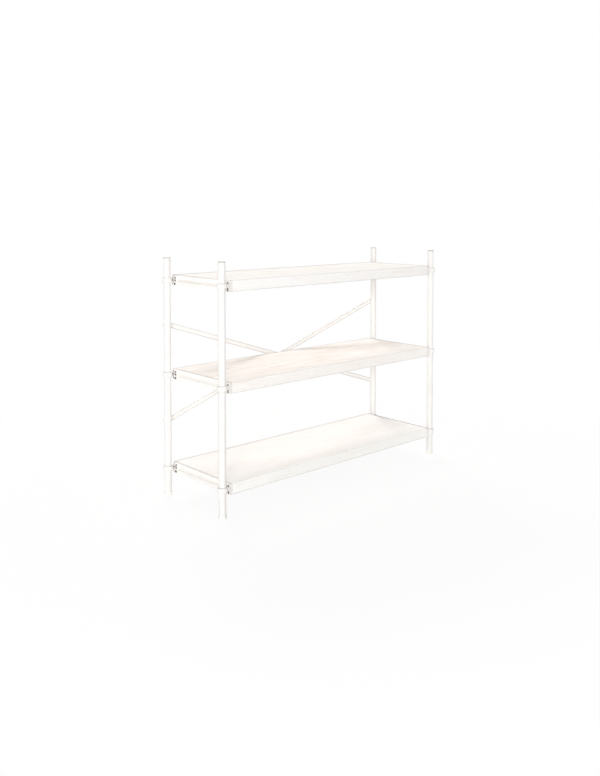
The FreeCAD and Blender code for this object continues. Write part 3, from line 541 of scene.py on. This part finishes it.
def background_rays(nodes, links):
    """1 for rays from the camera, and for those that gloss and glass send back to the background."""
    light_path = nodes.new("ShaderNodeLightPath")
    total = light_path.outputs["Is Camera Ray"]
    for name in ("Is Glossy Ray", "Is Transmission Ray"):
        adding = nodes.new("ShaderNodeMath")
        adding.operation = "MAXIMUM"
        links.new(total, adding.inputs[0])
        links.new(light_path.outputs[name], adding.inputs[1])
        total = adding.outputs[0]
    return total


def make_floor():
    """A pale floor that shows white to the camera, less a share of the shadow near the object."""
    mesh = bpy.data.meshes.new("floor")
    half = FLOOR_SIZE / 2
    corners = [(-half, -half, 0), (half, -half, 0), (half, half, 0), (-half, half, 0)]
    mesh.from_pydata(corners, [], [(0, 1, 2, 3)])
    floor = bpy.data.objects.new("floor", mesh)
    bpy.context.scene.collection.objects.link(floor)
    tree = Tree("floor_paint", specular=0.0)
    tree.shader.inputs["Base Color"].default_value = FLOOR_PAINT
    tree.shader.inputs["Roughness"].default_value = FLOOR_ROUGHNESS
    white = tree.add("ShaderNodeEmission")
    away = tree.vector("LENGTH", tree.place)
    plain = tree.ramp(away, *FLOOR_SHADOW_REACH, low=1 - FLOOR_SHADOW_SHARE)
    blend = tree.add("ShaderNodeMixShader")
    tree.feed(blend.inputs[0], tree.times(plain, background_rays(tree.nodes, tree.links)))
    tree.feed(blend.inputs[1], tree.shader.outputs[0])
    tree.feed(blend.inputs[2], white.outputs[0])
    tree.links.new(blend.outputs[0], tree.nodes["Material Output"].inputs["Surface"])
    mesh.materials.append(tree.material)


def make_world():
    """Even light from all round, behind a background that is white to the camera."""
    world = bpy.data.worlds.new("studio")
    bpy.context.scene.world = world
    world.use_nodes = True
    nodes, links = world.node_tree.nodes, world.node_tree.links
    around = nodes["Background"]
    around.inputs["Color"].default_value = WHITE_LIGHT
    around.inputs["Strength"].default_value = AMBIENT
    white = nodes.new("ShaderNodeBackground")
    white.inputs["Color"].default_value = WHITE_LIGHT
    blend = nodes.new("ShaderNodeMixShader")
    links.new(background_rays(nodes, links), blend.inputs[0])
    links.new(around.outputs[0], blend.inputs[1])
    links.new(white.outputs[0], blend.inputs[2])
    links.new(blend.outputs[0], nodes["World Output"].inputs["Surface"])


# Lamps


class Lamp(NamedTuple):
    """Bearing in degrees from the object's front towards its left, height angle in degrees, side of the
    square, and share of the light that shows a colour as written."""

    name: str
    bearing: float
    rise: float
    side: float
    share: float


LAMPS = (
    Lamp("key", bearing=46, rise=10, side=3.2, share=0.53),
    Lamp("overhead", bearing=20, rise=75, side=6.0, share=0.07),
    Lamp("rear", bearing=204, rise=35, side=3.4, share=0.64),
)
LAMP_TARGET = Vector((0.0, 0.0, 0.5))
LAMP_DISTANCE = 9.0


def make_lamp(lamp):
    """A square soft box that faces the object. Its power gives the object the lamp's share of light."""
    turn, lift = math.radians(lamp.bearing), math.radians(lamp.rise)
    towards = Vector((-math.sin(turn) * math.cos(lift), -math.cos(turn) * math.cos(lift), math.sin(lift)))
    light = bpy.data.lights.new(lamp.name, "AREA")
    light.shape = "SQUARE"
    light.size = lamp.side
    light.energy = lamp.share * (math.pi * LAMP_DISTANCE) ** 2
    hung = bpy.data.objects.new(lamp.name, light)
    hung.location = LAMP_TARGET + towards * LAMP_DISTANCE
    hung.rotation_euler = (-towards).to_track_quat("-Z", "Y").to_euler()
    bpy.context.scene.collection.objects.link(hung)


# Camera: the photograph's frame, and the place and turn that were fitted to it

IMAGE_WIDTH, IMAGE_HEIGHT = 600, 776
SENSOR = 36.0
FOCAL_PIXELS = 826.66
OPTICAL_CENTRE = (302.3, 242.5)
CAMERA_PLACE = (-2.4505, -2.6202, 1.1545)
CAMERA_TURN = 0.7447
CAMERA_DIP = 0.0409


def make_camera():
    data = bpy.data.cameras.new("camera")
    longer = max(IMAGE_WIDTH, IMAGE_HEIGHT)
    data.sensor_width = SENSOR
    data.lens = FOCAL_PIXELS * SENSOR / longer
    data.shift_x = (IMAGE_WIDTH / 2 - OPTICAL_CENTRE[0]) / longer
    data.shift_y = (OPTICAL_CENTRE[1] - IMAGE_HEIGHT / 2) / longer
    camera = bpy.data.objects.new("camera", data)
    camera.location = CAMERA_PLACE
    camera.rotation_euler = (math.pi / 2 - CAMERA_DIP, 0.0, -CAMERA_TURN)
    bpy.context.scene.collection.objects.link(camera)
    bpy.context.scene.camera = camera


make_floor()
make_world()
for lamp in LAMPS:
    make_lamp(lamp)
make_camera()
bpy.context.scene.view_settings.view_transform = "Standard"
